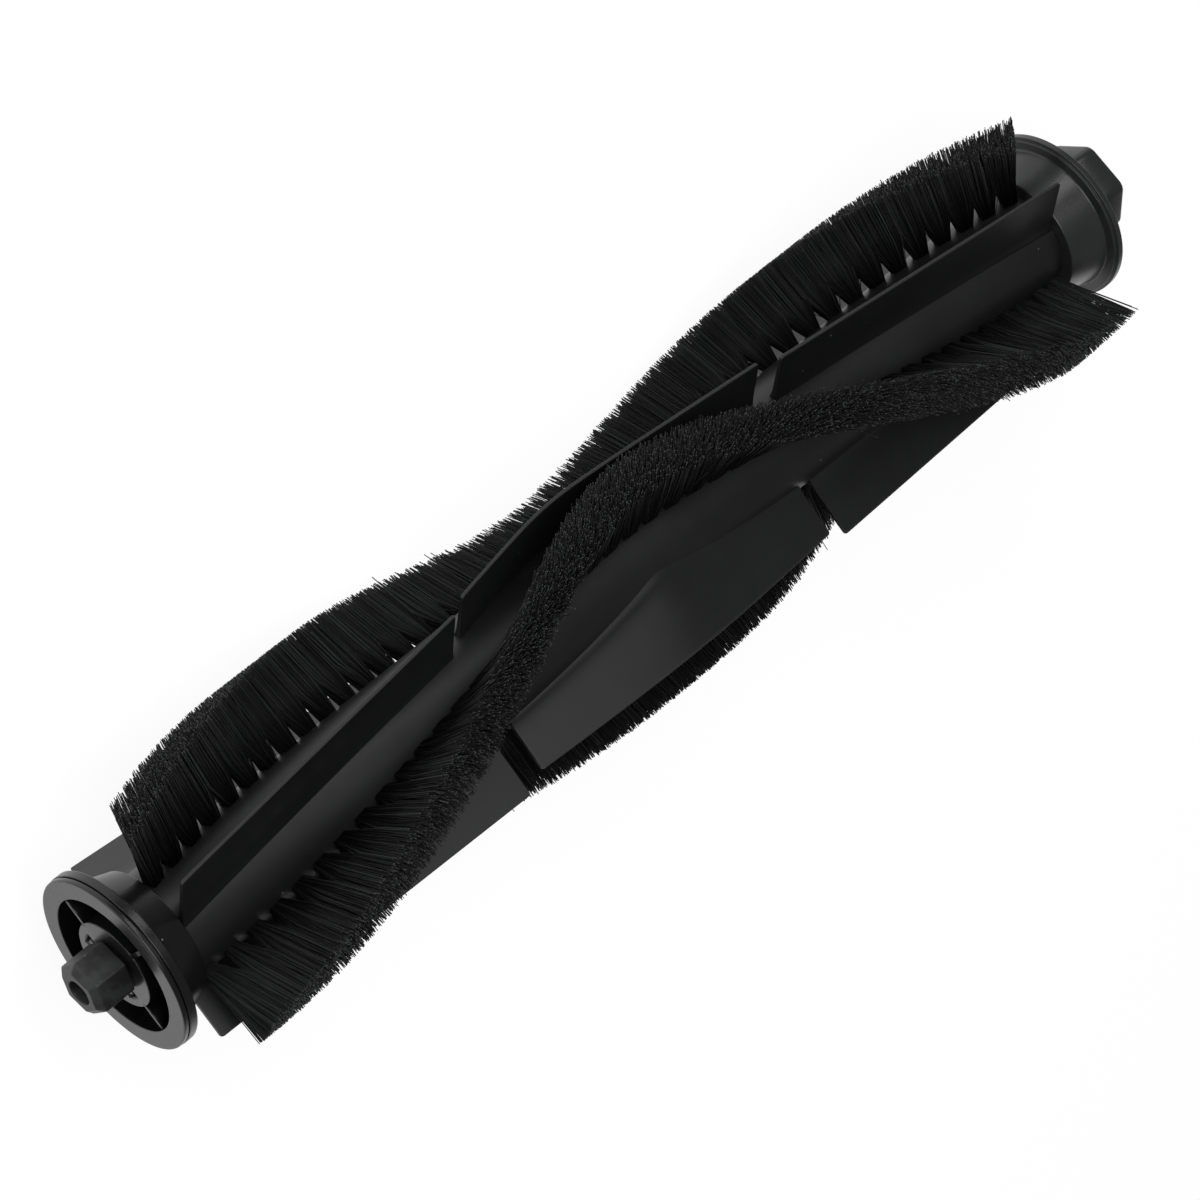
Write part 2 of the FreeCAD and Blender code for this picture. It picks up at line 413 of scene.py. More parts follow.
@dataclass
class Shell:
    """Part of a mesh: points in millimetres, four-sided faces and groups of flat faces with equal sides."""

    points: Array
    quads: Array
    plates: list[Array] = field(default_factory=list)

    def outward(self) -> "Shell":
        """The same closed shell with its faces turned outwards, by the sign of its volume."""
        fans = [np.stack([p[:, :1] + 0 * p[:, 2:], p[:, 1:-1], p[:, 2:]], -1).reshape(-1, 3)
                for p in self.plates]
        tris = np.concatenate([self.quads[:, [0, 1, 2]], self.quads[:, [0, 2, 3]], *fans])
        a, b, c = (self.points[tris[:, i]] for i in range(3))
        if np.einsum("ij,ij->", a, np.cross(b, c)) >= 0:
            return self
        return Shell(self.points, self.quads[:, ::-1], [p[:, ::-1] for p in self.plates])


def ring_quads(rows: int, columns: int, closed: bool) -> Array:
    """Faces between rings of points that are stored one after the other.

    Args:
        rows: Number of rings.
        columns: Number of points in a ring.
        closed: Whether the last ring joins the first.

    Returns:
        Four point numbers for each face.
    """
    r = np.arange(rows if closed else rows - 1)[:, None]
    c = np.arange(columns)[None, :]
    r2, c2 = (r + 1) % rows, (c + 1) % columns
    corners = [r * columns + c, r * columns + c2, r2 * columns + c2, r2 * columns + c]
    return np.stack(corners, -1).reshape(-1, 4)


def loft(stations: Array, closed: bool = False) -> Shell:
    """Surface through outlines (outline, point, xyz), with flat ends unless it closes on itself."""
    rows, columns = stations.shape[:2]
    quads = ring_quads(rows, columns, closed)
    around = np.arange(columns)
    ends = [] if closed else [np.stack([around[::-1], around + (rows - 1) * columns])]
    return Shell(stations.reshape(-1, 3), quads, ends).outward()


def edged(points: list[Pair], edges: Edges) -> list[Triple]:
    """Corners from points and their rounding radii."""
    return [(*point, edge) for point, edge in zip(points, edges)]


def softened(corners: list[Triple], steps: int = 4, closed: bool = False) -> Array:
    """Line through corners with rounded corners.

    Each corner (x, y, radius) becomes the quadratic curve between the tangent points of its arc, with the
    corner as control point. A guard point beyond each end of it keeps the shading of the runs flat.

    Args:
        corners: Corners with their rounding radius, 0 for a plain point.
        steps: Steps of one arc.
        closed: Whether the last corner joins the first.

    Returns:
        Points of the line.
    """
    xy = np.array([c[:2] for c in corners], float)
    line = []
    for i, (_, _, radius) in enumerate(corners):
        if radius <= 0 or (not closed and i in (0, len(corners) - 1)):
            line.append(xy[i][None])
            continue
        before, after = xy[i - 1] - xy[i], xy[(i + 1) % len(xy)] - xy[i]
        long_before, long_after = np.linalg.norm(before), np.linalg.norm(after)
        cosine = np.clip(before @ after / (long_before * long_after), -1, 1)
        run = min(radius / math.tan(math.acos(cosine) / 2), ARC_SHARE * long_before, ARC_SHARE * long_after)
        to_a, to_b = before / long_before * run, after / long_after * run
        a, b = xy[i] + to_a, xy[i] + to_b
        t = np.linspace(0, 1, steps + 1)[:, None]
        arc = (1 - t) ** 2 * a + 2 * t * (1 - t) * xy[i] + t ** 2 * b
        line += [(a + to_a * GUARD_SHARE)[None], arc, (b + to_b * GUARD_SHARE)[None]]
    return np.concatenate(line)


def lathe(profile: Array, steps: int, closed: bool = False) -> Shell:
    """Surface of revolution about X from (place, radius) points: (x, r cos a, r sin a)."""
    turn = np.linspace(0, 2 * np.pi, steps, endpoint=False)
    x = np.broadcast_to(profile[:, :1], (len(profile), steps))
    around = np.stack([x, profile[:, 1:] * np.cos(turn), profile[:, 1:] * np.sin(turn)], -1)
    return loft(around, closed)


def hexagon_outlines(places: Array, flats: Array, corners: Array, turn: float,
                     points: int = 9) -> Array:
    """Rounded hexagons square to X, one for each place.

    A corner's arc has its centre on the line to the corner, where the inset flats meet, and spans a sixth of
    a turn. With a corner radius of half the flats the outline is a circle.

    Args:
        places: Places along X.
        flats: Widths across flats.
        corners: Corner radii.
        turn: Angle of the first corner in degrees.
        points: Points of one corner.

    Returns:
        Points as (place, point, xyz).
    """
    to_corner = np.radians(turn + 60.0 * np.arange(6))[:, None]
    arc = to_corner + np.radians(np.linspace(-30, 30, points))[None, :]
    reach = ((flats / 2 - corners) * 2 / math.sqrt(3))[:, None, None]
    y = reach * np.cos(to_corner) + corners[:, None, None] * np.cos(arc)
    z = reach * np.sin(to_corner) + corners[:, None, None] * np.sin(arc)
    x = np.broadcast_to(places[:, None, None], y.shape)
    return np.stack([x, y, z], -1).reshape(len(places), -1, 3)


def turned_about_x(points: Array, degrees: float) -> Array:
    """Points turned about the roller's axis, from +Y towards +Z."""
    c, s = math.cos(math.radians(degrees)), math.sin(math.radians(degrees))
    x, y, z = points[..., 0], points[..., 1], points[..., 2]
    return np.stack([x, y * c - z * s, y * s + z * c], -1)


def add_piece(name: str, shells: list[Shell], material: bpy.types.Material,
              values: dict[str, Array] | None = None) -> bpy.types.Object:
    """Puts shells into one mesh object at the origin, with smooth walls and flat plates.

    Args:
        name: Name of the piece.
        shells: Closed shells in millimetres from the middle of the tube.
        material: Finish of the piece.
        values: Values at the points, by attribute name.

    Returns:
        The new object.
    """
    points = np.concatenate([s.points for s in shells])
    starts = np.cumsum([0] + [len(s.points) for s in shells[:-1]])
    loops = [s.quads.ravel() + n for s, n in zip(shells, starts)]
    sizes = [np.full(len(s.quads), 4) for s in shells]
    walls = sum(map(len, sizes))
    for shell, start in zip(shells, starts):
        loops += [plates.ravel() + start for plates in shell.plates]
        sizes += [np.full(len(plates), plates.shape[1]) for plates in shell.plates]
    flat_loops, flat_sizes = np.concatenate(loops), np.concatenate(sizes)
    mesh = bpy.data.meshes.new(name)
    mesh.vertices.add(len(points))
    mesh.vertices.foreach_set("co", ((points + [AXIS_SHIFT, 0, 0]) * MM).astype(np.float32).ravel())
    mesh.loops.add(len(flat_loops))
    mesh.loops.foreach_set("vertex_index", flat_loops.astype(np.int32))
    mesh.polygons.add(len(flat_sizes))
    mesh.polygons.foreach_set("loop_start", (np.cumsum(flat_sizes) - flat_sizes).astype(np.int32))
    mesh.polygons.foreach_set("use_smooth", np.arange(len(flat_sizes)) < walls)
    mesh.update(calc_edges=True)
    mesh.validate()
    for key, value in (values or {}).items():
        layer = mesh.attributes.new(key, "FLOAT", "POINT")
        layer.data.foreach_set("value", value.astype(np.float32).ravel())
    mesh.materials.append(material)
    piece = bpy.data.objects.new(name, mesh)
    bpy.context.scene.collection.objects.link(piece)
    LOG.info("%s: %d points, %d faces", name, len(points), len(flat_sizes))
    return piece


def stand_for(piece: bpy.types.Object, body: str, slot: str, *nodes: str) -> None:
    """The piece rides on a body and stands for CAD nodes, which it hides."""
    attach(piece, body)
    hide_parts(*nodes)


@dataclass
class CoreTube:
    """Plain moulded tube that carries the flaps and the tufts."""

    radius: float = 9.0
    bore_radius: float = 4.1
    half_length: float = 96.4
    edge: float = 0.25
    steps: int = 160

    def build(self, finish: MouldedPlastic) -> None:
        """Turns the tube's closed section about the axis and dresses it."""
        length, edge = self.half_length, self.edge
        section = softened([
            (-length, self.bore_radius, 0), (-length, self.radius, edge),
            (length, self.radius, edge), (length, self.bore_radius, 0)], closed=True)
        piece = add_piece("core_tube_skin", [lathe(section, self.steps, closed=True)], finish.make())
        stand_for(piece, "roller", finish.slot, "core_tube")


@dataclass
class EndCap:
    """Cone and flange of one end, with the bearing recess or the drive peg.

    Places are those of the drive end, which the bearing cap mirrors. Edges are rounding radii, in the order
    of the corners.
    """

    end: End
    shoulder: float = 96.42
    neck_radius: float = 4.0
    neck_length: float = 6.0
    cone_mouth: float = 10.9
    cone_top: float = 12.8
    cone_edges: Edges = (0.2, 0.05, 0.3, 0.35)
    flange_back: float = 102.9
    front: float = 104.5
    flange_radius: float = 15.0
    rim_step: float = 0.5
    step_edges: Edges = (0.15, 0.08, 0.15, 0.2)
    rim_back: float = 0.9
    groove_place: float = 0.6
    groove_width: float = 0.2
    front_inset: float = 0.1
    groove_edges: Edges = (0.25, 0.15, 0.05, 0.05, 0.12, 0.3)
    recess_radius: float = 11.6
    recess_depth: float = 3.6
    hub_radius: float = 7.4
    hub_face: float = 104.3
    recess_edges: Edges = (0.15, 0.3, 0.3, 0.2, 0.0)
    hub_margin: float = 0.45
    hub_bands: int = 46
    pin_radius: float = 2.02
    bore_margin: float = 0.35
    bore_edge: float = 0.15
    bore_depth: float = 14.0
    rib_thickness: float = 0.7
    rib_angle: float = -27.0
    rib_count: int = 4
    rib_edge: float = 0.18
    rib_sink: float = 0.2
    rib_overlap: float = 0.4
    slot_radius: float = 5.6
    slot_half_width: float = 0.4
    slot_depth: float = 1.8
    slot_spans: tuple[Pair, ...] = ((-62.0, -36.0), (155.0, 181.0))
    slot_leg: float = 1.8
    slot_leg_span: float = 8.0
    peg_flats: float = 14.6
    peg_corner: float = 2.0
    peg_tip: float = 114.0
    peg_edge: float = 0.5
    peg_edge_steps: int = 5
    peg_angle: float = 25.5
    peg_sink: float = 0.5
    peg_inset: float = 4.5
    corner_shrink: float = 0.45
    least_corner: float = 0.3
    # Painted light on the ring, and the reach across the hub of the bush's painted shadow
    ring_painted_light: float = 0.2
    bush_shadow_reach: Pair = (1.5, 3.6)
    tolerance: float = 0.02
    steps: int = 256

    def rim(self) -> list[Triple]:
        """Corners of the rim from the flange's back to its front edge, with a step or a groove."""
        back, radius, low = self.flange_back, self.flange_radius, self.flange_radius - self.rim_step
        if self.end is End.DRIVE:
            step = back + self.rim_step
            return edged([(back, low), (step, low), (step, radius), (self.front, radius)], self.step_edges)
        groove, front = back + self.groove_place, radius - self.front_inset
        wall = groove + self.groove_width
        return edged([(back - self.rim_back, radius), (groove, radius), (groove, low),
                      (wall, low), (wall, front), (self.front, front)], self.groove_edges)

    def outside(self) -> list[Triple]:
        """Corners of the outside from the neck's end to the flange's front edge."""
        rim, neck_end = self.rim(), self.shoulder - self.neck_length
        cone = edged([(neck_end, self.neck_radius), (self.shoulder, self.neck_radius),
                      (self.shoulder, self.cone_mouth), (rim[0][0], self.cone_top)], self.cone_edges)
        return [(neck_end, AXIS_GAP, 0), *cone, *rim]

    def bearing_face(self) -> Shell:
        """Turned body with the recess, the hub and the bore for the pin.

        A hook slot is an arc round the axis with a short leg inwards at each end. Points of the hub's face
        that lie in a slot sink by its depth.
        """
        floor, bore_end = self.front - self.recess_depth, self.hub_face - self.bore_depth
        outer, inner = self.hub_radius - self.hub_margin, self.pin_radius + self.bore_margin
        bands = np.linspace(outer, inner, self.hub_bands)
        hub = np.stack([np.full_like(bands, self.hub_face), bands], 1)
        recess = edged([(self.front, self.recess_radius), (floor, self.recess_radius),
                        (floor, self.hub_radius), (self.hub_face, self.hub_radius),
                        (self.hub_face, outer)], self.recess_edges)
        bore = [(self.hub_face - self.bore_edge, self.pin_radius), (bore_end, self.pin_radius),
                (bore_end, AXIS_GAP)]
        shell = lathe(np.concatenate([softened(self.outside() + recess), hub[1:], bore]), self.steps)
        x, y, z = shell.points.T
        radius, angle = np.hypot(y, z), np.degrees(np.arctan2(z, y))
        arc = np.abs(radius - self.slot_radius) < self.slot_half_width
        leg = (radius < self.slot_radius) & (radius > self.slot_radius - self.slot_leg)
        in_slot = np.zeros(len(x), bool)
        for low, high in self.slot_spans:
            beyond = np.abs((angle - (low + high) / 2 + 180) % 360 - 180) - (high - low) / 2
            in_slot |= (beyond < 0) & (arc | (leg & (beyond > -self.slot_leg_span)))
        on_face = np.abs(x - self.hub_face) < self.tolerance
        shell.points[:, 0] -= self.slot_depth * (in_slot & on_face)
        return shell

    def ribs(self) -> list[Shell]:
        """Thin ribs between hub and recess: a slab section with a rounded top, carried outwards."""
        floor, half = self.front - self.recess_depth - self.rib_sink, self.rib_thickness / 2
        section = softened([(floor, -half, 0), (self.hub_face, -half, self.rib_edge),
                            (self.hub_face, half, self.rib_edge), (floor, half, 0)])
        reach = np.array([self.hub_radius - self.rib_overlap, self.recess_radius + self.rib_overlap])
        across = [section[None, :, 0], reach[:, None], section[None, :, 1]]
        stations = np.stack(np.broadcast_arrays(*across), -1)
        turns = self.rib_angle + 360.0 / self.rib_count * np.arange(self.rib_count)
        return [loft(turned_about_x(stations, turn)) for turn in turns]

    def peg(self) -> Shell:
        """Rounded hexagonal peg: a line of (place, inset) with a softened end edge sets its flats."""
        line = softened([(self.front - self.peg_sink, 0.0, 0), (self.peg_tip, 0.0, self.peg_edge),
                         (self.peg_tip, self.peg_inset, 0)], self.peg_edge_steps)
        place, inset = line.T
        corner = np.clip(self.peg_corner - self.corner_shrink * inset, self.least_corner, None)
        return loft(hexagon_outlines(place, self.peg_flats - 2 * inset, corner, self.peg_angle))

    def paint_light(self, shells: list[Shell]) -> Array:
        """Painted light at the points: the bearing end's ring and its hub face are painted lighter, except
        where the bush's shadow is painted on the hub.
        """
        x, y, z = np.concatenate([s.points for s in shells]).T
        place, radius = np.abs(x), np.hypot(y, z)
        on_hub = (np.abs(place - self.hub_face) < self.tolerance) & (radius < self.hub_radius)
        on_ring = (place > self.front - self.tolerance) & (radius > self.recess_radius)
        # Painted shadow of the bush: the hub's painted light fades out towards one side of it
        bush_shadow = np.interp((y + z) / math.sqrt(2), self.bush_shadow_reach, (0.0, 1.0))
        return (on_hub * (1 - bush_shadow) + self.ring_painted_light * on_ring) * (self.end is End.BEARING)

    def build(self, finish: MouldedPlastic) -> None:
        """Makes the cap of its end and dresses it."""
        if self.end is End.BEARING:
            shells, node = [self.bearing_face(), *self.ribs()], "bearing_end_cap"
        else:
            face = softened(self.outside() + [(self.front, AXIS_GAP, 0)])
            shells, node = [lathe(face, self.steps), self.peg()], "drive_end_cap"
        own_end = [self.end.value, 1, 1]
        shells = [Shell(s.points * own_end, s.quads, s.plates).outward() for s in shells]
        # The bearing cap's painted light and shade go on its points
        piece = add_piece(node + "_skin", shells, finish.make(), {"painted_light": self.paint_light(shells)})
        stand_for(piece, "roller", finish.slot, node)


@dataclass
class BearingBush:
    """Hexagonal bush with a tapered tip that stays still while the roller turns."""

    base: float = 104.6
    tip: float = 111.05
    tip_length: float = 1.0
    flats: float = 8.4
    tip_flats: float = 6.2
    bore: float = 4.1
    corner: float = 0.5
    edges: Edges = (0.1, 0.35, 0.5, 0.3, 0.3)
    edge_steps: int = 5
    turn: float = 9.0

    def build(self, finish: MouldedPlastic) -> None:
        """Carries a rounded hexagon along the bush and back through its round bore."""
        shoulder = self.tip - self.tip_length
        outline = edged([(self.base, self.bore), (self.base, self.flats), (shoulder, self.flats),
                         (self.tip, self.tip_flats), (self.tip, self.bore)], self.edges)
        place, flats = softened(outline, self.edge_steps, closed=True).T
        share = np.sqrt(np.clip((flats - self.bore) / (self.tip_flats - self.bore), 0, 1))
        corners = np.minimum(self.bore / 2 * (1 - share) + self.corner * share, flats / 2)
        outlines = hexagon_outlines(-place, flats, corners, self.turn)
        piece = add_piece("bearing_bush_skin", [loft(outlines, closed=True)], finish.make())
        stand_for(piece, "bush", finish.slot, "bearing_bush")


@dataclass
class WiperFlaps:
    """Three leaning rubber flaps, each in two straight side segments and a bent middle one.

    Steps and climbs are (from, to, number of points); bend places and droops hold a value for each flap.
    """

    tip_radius: float = 19.2
    seat_radius: float = 8.2
    tube_radius: float = 9.0
    root_half: float = 0.40
    tip_half: float = 0.28
    height_angle: float = 34.0
    end_place: float = 95.9
    split_place: float = 35.7
    middle_half: float = 32.4
    end_angle: float = 36.3
    split_angle: float = -7.7
    middle_angle: float = -20.7
    bend_angle: float = -64.5
    bend_places: Triple = (-10.0, 0.5, 0.0)
    bend_root: float = 1.2
    bend_tip: float = 5.5
    end_droops: Triple = (0.0, 1.75, 0.0)
    droop_power: float = 1.3
    foot: float = 0.35
    foot_height: float = 0.9
    foot_share: float = 0.9
    edge: float = 0.1
    edge_points: int = 5
    corner: float = 0.5
    end_steps: tuple[float, float, int] = (0.02, 2.0, 12)
    inner_margin: float = 2.6
    inner_points: int = 72
    foot_climb: tuple[float, float, int] = (0.0, 0.4, 14)
    face_climb: tuple[float, float, int] = (0.45, 0.97, 8)

    def offset(self, angle: float) -> float:
        """Distance of the plate from the plane through the axis, for an angle at its seat."""
        return self.seat_radius * math.sin(math.radians(angle))

    def path(self, segment: Segment, bend: float) -> Array:
        """Corners (place, offset) of a segment's centre line, for a place of the middle one's bend."""
        end = (self.end_place, self.offset(self.end_angle))
        split = (self.split_place, self.offset(self.split_angle))
        middle = (self.middle_half, self.offset(self.middle_angle))
        if segment is Segment.MIDDLE:
            return np.array([(-middle[0], middle[1]), (bend, self.offset(self.bend_angle)), middle])
        points = np.array([split, end])
        return points if segment is Segment.DRIVE_SIDE else (points * [-1, 1])[::-1]

    def section(self) -> tuple[Array, ...]:
        """Section of a plate: up one side, over the tip's rounded edges and down the other side.

        Returns:
            Share of the height, drop below the tip, cut from the side, and side of each point.
        """
        climb = np.concatenate([np.linspace(*self.foot_climb), np.linspace(*self.face_climb)])
        turn = np.linspace(0, np.pi / 2, self.edge_points)
        straight = np.zeros(len(climb))
        half = np.stack([np.concatenate([climb, np.ones(self.edge_points)]),
                         np.concatenate([straight, self.edge * (1 - np.sin(turn))]),
                         np.concatenate([straight, self.edge * (1 - np.cos(turn))])])
        rise, drop, cut = np.concatenate([half, half[:, ::-1]], 1)
        return rise, drop, cut, np.repeat([1.0, -1.0], half.shape[1])

    def plate(self, path: Array, droop: float) -> tuple[Shell, Array]:
        """Closed plate over a centre line.

        The section is carried along the straight line between corners. A bend is rounded by the square root
        of the squared distance plus a squared width, which grows from root to tip. The foot flares by an
        exponential of the height above the tube.

        Args:
            path: Corners of the centre line as (place, offset).
            droop: Height that the tip of a bent plate loses towards its ends.

        Returns:
            The shell, and the share of the height at each of its points.
        """
        start, stop, bent = path[0, 0], path[-1, 0], len(path) == 3
        near = np.geomspace(*self.end_steps) - self.end_steps[0]
        inner = np.linspace(start + self.inner_margin, stop - self.inner_margin, self.inner_points)
        s = np.concatenate([start + near, inner, (stop - near)[::-1]])
        tip = np.interp(s, path[:, 0], np.sqrt(self.tip_radius ** 2 - path[:, 1] ** 2))
        root = np.interp(s, path[:, 0], np.sqrt(self.seat_radius ** 2 - path[:, 1] ** 2))
        if bent:
            tip = tip - droop * np.abs((s - path[1, 0]) / (stop - path[1, 0])) ** self.droop_power
        inside = np.clip(self.corner - np.minimum(s - start, stop - s), 0, None)
        tip = tip - (self.corner - np.sqrt(np.clip(self.corner ** 2 - inside ** 2, 0, None)))
        rise, drop, cut, side = self.section()
        height = root[:, None] + rise * (tip - root)[:, None] - drop
        share = (height - root[:, None]) / (tip - root)[:, None]
        middle = np.broadcast_to(np.interp(s, path[:, 0], path[:, 1])[:, None], height.shape)
        if bent:
            slopes = np.diff(path[:, 1]) / np.diff(path[:, 0])
            width = self.bend_root + (self.bend_tip - self.bend_root) * share
            away = (s - path[1, 0])[:, None]
            smooth_gap = np.sqrt(away ** 2 + width ** 2) - np.abs(away)
            middle = middle + (slopes[1] - slopes[0]) / 2 * smooth_gap
        above = np.clip(height - np.sqrt(self.tube_radius ** 2 - middle ** 2), 0, None)
        flare = self.foot * np.exp(-above / self.foot_height) * (share < self.foot_share)
        half = self.root_half + (self.tip_half - self.root_half) * share
        across = middle + side * (half - cut + flare)
        stations = np.stack([np.broadcast_to(s[:, None], height.shape), height, across], -1)
        return loft(stations), share

    def build(self, finish: WiperRubber) -> None:
        """Makes and dresses all the segments of all flaps."""
        material = finish.make()
        for index in range(REPEATS):
            for segment in Segment:
                path = self.path(segment, self.bend_places[index])
                shell, share = self.plate(path, self.end_droops[index])
                shell.points = turned_about_x(shell.points, self.height_angle + index * REPEAT_ANGLE)
                node = f"flap_{index + 1}_{segment.value}"
                piece = add_piece(node + "_skin", [shell], material, {"reach": share})
                stand_for(piece, "roller", finish.slot, node)


@dataclass
class BristleRows:
    """Three chevron rows of nylon tufts, filament by filament.

    Lists of three hold one value for each row; a pair in them is for the bearing and the drive end.
    """

    tip_radius: float = 22.03
    root_radius: float = 8.6
    pitch: float = 4.49
    tufts: int = 43
    along_count: int = 13
    across_count: int = 25
    apex_angle: float = 41.0
    lead: float = 283.5
    apex_length: float = 20.0
    mouth_along: float = 1.1
    mouth_across: float = 1.0
    mouth_skew: float = 1.5
    overlap: float = 1.1
    band_half: float = 3.8
    end_margin: float = 2.0
    end_power: int = 6
    shear: float = 0.4
    end_shears: tuple[Pair, ...] = ((0.0, 1.8), (0.4, 0.4), (0.4, 1.0))
    end_combs: tuple[Pair, ...] = ((2.5, 0.0), (0.0, 0.0), (0.0, 0.0))
    end_leans: tuple[Pair, ...] = ((0.5, 0.5), (0.5, 0.5), (-6.0, -2.0))
    apex_leans: Triple = (-7.0, 0.0, 0.0)
    apex_lean_reach: float = 28.0
    trim_spread: float = 0.12
    short_share: float = 0.35
    short_by: float = 1.6
    jitter: float = 0.14
    stray_jitter: float = 0.9
    stray_share: float = 0.02
    # Painted glints: tone raised at the rows' ends and about their middles, so more hairs there are painted
    # paler
    end_painted_glints: Triple = (0.8, 0.0, 0.0)
    middle_painted_glints: Triple = (0.0, 0.0, 0.55)
    painted_glint_reach: float = 50.0
    closing: float = 0.42
    closing_fan: float = 0.3
    filament_radius: float = 0.088
    radius_spread: Pair = (0.8, 1.15)
    sides: int = 3
    seed: int = 7

    def row(self, index: int) -> tuple[Shell, dict[str, Array]]:
        """All filaments of one row.

        Tuft places follow the chevron: angle = apex + turn (sqrt(x^2 + l^2) - l) / lead. The tips of a tuft
        are an even, slightly random grid on the trimmed cylinder, sheared across the row. The roots are the
        same grid squeezed into a skewed mouth. A filament spreads along the row up to the closing height, or
        at the row's outer ends all the way, and fans out across it up to the tip. Changes towards the row's
        ends follow a high power of the place, and those about its middle a bell curve.

        Args:
            index: Number of the row.

        Returns:
            The shell, and the values of its points: the filament's tone with its painted glints, and the
                share of its length.
        """
        rng = np.random.default_rng(self.seed + index)
        shape = (self.tufts, self.along_count * self.across_count)
        last = (self.tufts - 1) / 2 * self.pitch
        place = (np.arange(self.tufts) * self.pitch - last)[:, None]
        path = np.hypot(place, self.apex_length)
        angle = self.apex_angle + 360.0 * (path - self.apex_length) / self.lead + index * REPEAT_ANGLE
        slope = self.tip_radius * 2 * np.pi / self.lead * place / path
        lean = np.interp(place, [-last, last], self.end_leans[index])
        lean = np.radians(lean + self.apex_leans[index] * np.exp(-(place / self.apex_lean_reach) ** 2))
        near_end = (place / last) ** self.end_power
        # Painted glints where light falls on the hairs: a higher tone about the middle and near the ends
        glint_boost = self.middle_painted_glints[index] * np.exp(-(place / self.painted_glint_reach) ** 2)
        glint_boost = glint_boost + self.end_painted_glints[index] * near_end
        end_shear, end_comb = (np.where(place > 0, drive, bearing) for bearing, drive in
                               (self.end_shears[index], self.end_combs[index]))
        shear = self.shear + near_end * (end_shear - self.shear)
        comb = near_end * end_comb
        cell_along, cell_across = np.divmod(np.arange(shape[1]), self.across_count)
        u = (cell_along + rng.random(shape)) / self.along_count * 2 - 1
        v = (cell_across + rng.random(shape)) / self.across_count * 2 - 1
        loose = self.jitter + self.stray_jitter * (rng.random(shape) < self.stray_share)
        along = u * self.overlap * self.pitch / 2
        along = np.clip(place + along, -last - self.end_margin, last + self.end_margin) - place
        across = v * self.band_half / (1 + self.shear * slope)
        tip_turn = lean + (across + loose * rng.normal(size=shape)) / self.tip_radius
        tip_run = along + loose * rng.normal(size=shape)
        trim = self.tip_radius - np.abs(rng.normal(0, self.trim_spread, shape))
        trim = trim - self.short_by * (rng.random(shape) < self.short_share) * rng.random(shape)
        root_side = self.mouth_across * v
        skew = self.mouth_skew * slope * self.root_radius / self.tip_radius
        root_run = self.mouth_along * u - skew * root_side
        s, fan = np.array([0.0, self.closing, 1.0]), np.array([0.0, self.closing_fan, 1.0])
        top = trim * np.cos(tip_turn + along * slope / self.tip_radius)
        height = self.root_radius + (top - self.root_radius)[..., None] * s
        outermost = (np.abs(place) > last - self.pitch / 2) & (u * place > 0)
        spread = np.where(outermost[..., None], s, np.minimum(s / self.closing, 1))
        run = root_run[..., None] + (tip_run - root_run)[..., None] * spread
        side = root_side[..., None] + (trim * np.sin(tip_turn) - root_side)[..., None] * fan
        side = side + run * slope[..., None] * height / self.tip_radius
        run = place[..., None] + run + (comb - shear * across)[..., None] * s
        c, k = np.cos(np.radians(angle))[..., None], np.sin(np.radians(angle))[..., None]
        line = np.stack([run, height * c - side * k, height * k + side * c], -1)
        shell = self.filaments(line, rng)
        tone_and_glint = rng.random(shape) + glint_boost
        return shell, {"tone_and_glint": np.repeat(tone_and_glint.ravel(), self.sides * len(s)),
                       "reach": np.tile(np.repeat(s, self.sides), tone_and_glint.size)}

    def filaments(self, line: Array, rng: np.random.Generator) -> Shell:
        """Closed filaments along lines of points.

        A section is a regular polygon square to the way from root to tip, of random turn and radius.

        Args:
            line: Points of the filaments' middles as (tuft, filament, point, xyz).
            rng: Source of the random angles and radii.

        Returns:
            The shell of all filaments.
        """
        way = line[..., -1, :] - line[..., 0, :]
        way /= np.linalg.norm(way, axis=-1, keepdims=True)
        first = np.cross(way, rng.normal(size=way.shape))
        first /= np.linalg.norm(first, axis=-1, keepdims=True)
        second = np.cross(way, first)
        turn = np.arange(self.sides)[:, None] * 2 * np.pi / self.sides
        section = np.cos(turn) * first[..., None, None, :] + np.sin(turn) * second[..., None, None, :]
        radius = self.filament_radius * rng.uniform(*self.radius_spread, line.shape[:2])
        points = line[..., None, :] + radius[..., None, None, None] * section
        tufts, each, rings = line.shape[:3]
        base = np.arange(tufts * each)[:, None] * self.sides * rings
        quads = (ring_quads(rings, self.sides, False)[None] + base[..., None]).reshape(-1, 4)
        corner = np.arange(self.sides)
        caps = np.concatenate([base + corner[::-1], base + self.sides * (rings - 1) + corner])
        return Shell(points.reshape(-1, 3), quads, [caps])

    def build(self, finish: NylonFilament) -> None:
        """Makes and dresses the rows."""
        material = finish.make()
        for index in range(REPEATS):
            shell, values = self.row(index)
            node = f"bristle_row_{index + 1}"
            piece = add_piece(node + "_filaments", [shell], material, values)
            stand_for(piece, "roller", finish.slot, node)


@dataclass
class SteelParts:
    """Axle pin and tuft anchors, whose solids stay and only get a finish."""

    pin: DrawnSteel = DrawnSteel("pin")
    wire: DrawnSteel = DrawnSteel("anchors", value=0.5, roughness=0.35)

    def build(self) -> None:
        """Dresses the pin and the anchors of each row."""
        finishes = {"axle_pin": self.pin.make()}
        wire = self.wire.make()
        finishes.update({f"tuft_anchors_{i + 1}": wire for i in range(REPEATS)})
        for name, material in finishes.items():
            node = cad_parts[name]
            node.data.materials.clear()
            node.data.materials.append(material)
            LOG.info("%s dressed", name)


@dataclass(frozen=True)
class Softbox:
    """A square lamp, in metres and watts, with its direction by the picture's right, up and viewer."""

    name: str
    toward: Triple
    distance: float
    side: float
    power: float


